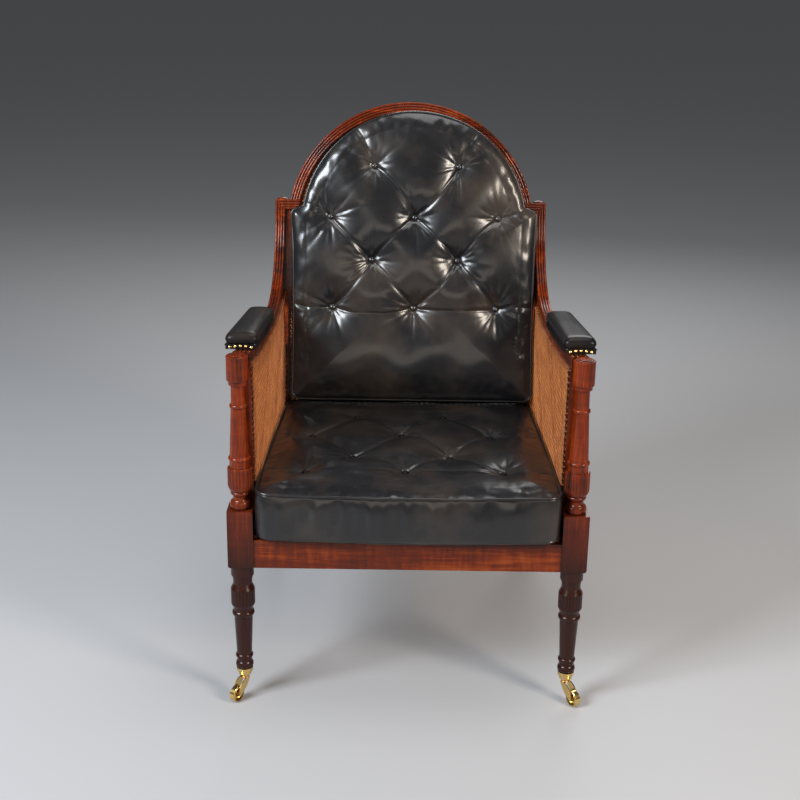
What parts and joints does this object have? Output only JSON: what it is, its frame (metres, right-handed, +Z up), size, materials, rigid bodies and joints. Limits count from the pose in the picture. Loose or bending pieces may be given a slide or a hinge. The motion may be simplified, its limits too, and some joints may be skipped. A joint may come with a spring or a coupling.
{
  "type": "bergere chair",
  "caption": "Library bergere with reeded arched back, swept arms on turned posts, cane back, sides and seat, buttoned black leather cushions, arm pads and brass casters.",
  "frame": {"origin": "on the floor below the middle of the chair's bounding box", "axes": "+Z up, the sitter faces -Y, +X towards the sitter's left arm"},
  "size_m": [0.6642, 0.7514, 1.0434],
  "materials": {
    "mahogany": "polished, dark red-brown",
    "plain_timber": "planed, unpolished",
    "cane": "woven golden cane, light varnish",
    "black_leather": "glossy, soft",
    "button_leather": "glossy",
    "brass": "polished"
  },
  "bodies": {
    "chair_frame": {"front_post_left": "mahogany", "front_post_right": "mahogany", "rear_post_left": "mahogany", "rear_post_right": "mahogany", "front_seat_rail": "mahogany", "side_seat_rail_left": "mahogany", "side_seat_rail_right": "mahogany", "rear_seat_rail": "mahogany", "seat_corner_blocks": "plain_timber", "shoulder_block_left": "mahogany", "shoulder_block_right": "mahogany", "shoulder_cap_left": "mahogany", "shoulder_cap_right": "mahogany", "crest_arch": "mahogany", "arm_left": "mahogany", "arm_right": "mahogany", "side_stile_left": "mahogany", "side_stile_right": "mahogany", "side_panel_rail_left": "mahogany", "side_panel_rail_right": "mahogany", "back_panel_stile_left": "mahogany", "back_panel_stile_right": "mahogany", "back_panel_arch": "mahogany", "back_panel_rail": "mahogany", "back_cane_panel": "cane", "side_cane_left": "cane", "side_cane_right": "cane", "seat_cane_deck": "cane", "elbow_board_left": "mahogany", "elbow_board_right": "mahogany", "arm_pad_left": "black_leather", "arm_pad_right": "black_leather", "pad_nails_left": "brass", "pad_nails_right": "brass", "caster_socket_front_left": "brass", "caster_socket_front_right": "brass", "caster_socket_rear_left": "brass", "caster_socket_rear_right": "brass", "caster_screws": "brass"},
    "caster_front_left": {"caster_horn_front_left": "brass", "caster_axle_front_left": "brass"},
    "wheel_front_left": {"caster_wheel_front_left": "brass"},
    "caster_front_right": {"caster_horn_front_right": "brass", "caster_axle_front_right": "brass"},
    "wheel_front_right": {"caster_wheel_front_right": "brass"},
    "caster_rear_left": {"caster_horn_rear_left": "brass", "caster_axle_rear_left": "brass"},
    "wheel_rear_left": {"caster_wheel_rear_left": "brass"},
    "caster_rear_right": {"caster_horn_rear_right": "brass", "caster_axle_rear_right": "brass"},
    "wheel_rear_right": {"caster_wheel_rear_right": "brass"},
    "seat_squab": {"seat_cushion": "black_leather", "seat_tuft_buttons": "button_leather"},
    "back_squab": {"back_cushion": "black_leather", "back_buttons": "button_leather"}
  },
  "joints": [
    {"name": "swivel_front_left", "type": "hinge", "parent": "chair_frame", "child": "caster_front_left", "pos_m": [-0.305, -0.3307, 0.045], "axis": [0, 0, 1], "continuous": true},
    {"name": "roll_front_left", "type": "hinge", "parent": "caster_front_left", "child": "wheel_front_left", "pos_m": [-0.31898, -0.35142, 0.0155], "axis": [0.829, -0.5592, 0], "continuous": true},
    {"name": "swivel_front_right", "type": "hinge", "parent": "chair_frame", "child": "caster_front_right", "pos_m": [0.305, -0.3307, 0.045], "axis": [0, 0, 1], "continuous": true},
    {"name": "roll_front_right", "type": "hinge", "parent": "caster_front_right", "child": "wheel_front_right", "pos_m": [0.31898, -0.35142, 0.0155], "axis": [0.829, 0.5592, 0], "continuous": true},
    {"name": "swivel_rear_left", "type": "hinge", "parent": "chair_frame", "child": "caster_rear_left", "pos_m": [-0.27875, 0.29129, 0.045], "axis": [0, 0, 1], "continuous": true},
    {"name": "roll_rear_left", "type": "hinge", "parent": "caster_rear_left", "child": "wheel_rear_left", "pos_m": [-0.29273, 0.31201, 0.0155], "axis": [-0.829, -0.5592, 0], "continuous": true},
    {"name": "swivel_rear_right", "type": "hinge", "parent": "chair_frame", "child": "caster_rear_right", "pos_m": [0.27875, 0.29129, 0.045], "axis": [0, 0, 1], "continuous": true},
    {"name": "roll_rear_right", "type": "hinge", "parent": "caster_rear_right", "child": "wheel_rear_right", "pos_m": [0.29273, 0.31201, 0.0155], "axis": [-0.829, 0.5592, 0], "continuous": true},
    {"name": "seat_cushion_lift", "type": "slide", "parent": "chair_frame", "child": "seat_squab", "axis": [0, 0, 1], "range_m": [0, 0.04]},
    {"name": "back_cushion_lift", "type": "slide", "parent": "seat_squab", "child": "back_squab", "axis": [0, 0.1822, 0.9833], "range_m": [0, 0.04]}
  ]
}
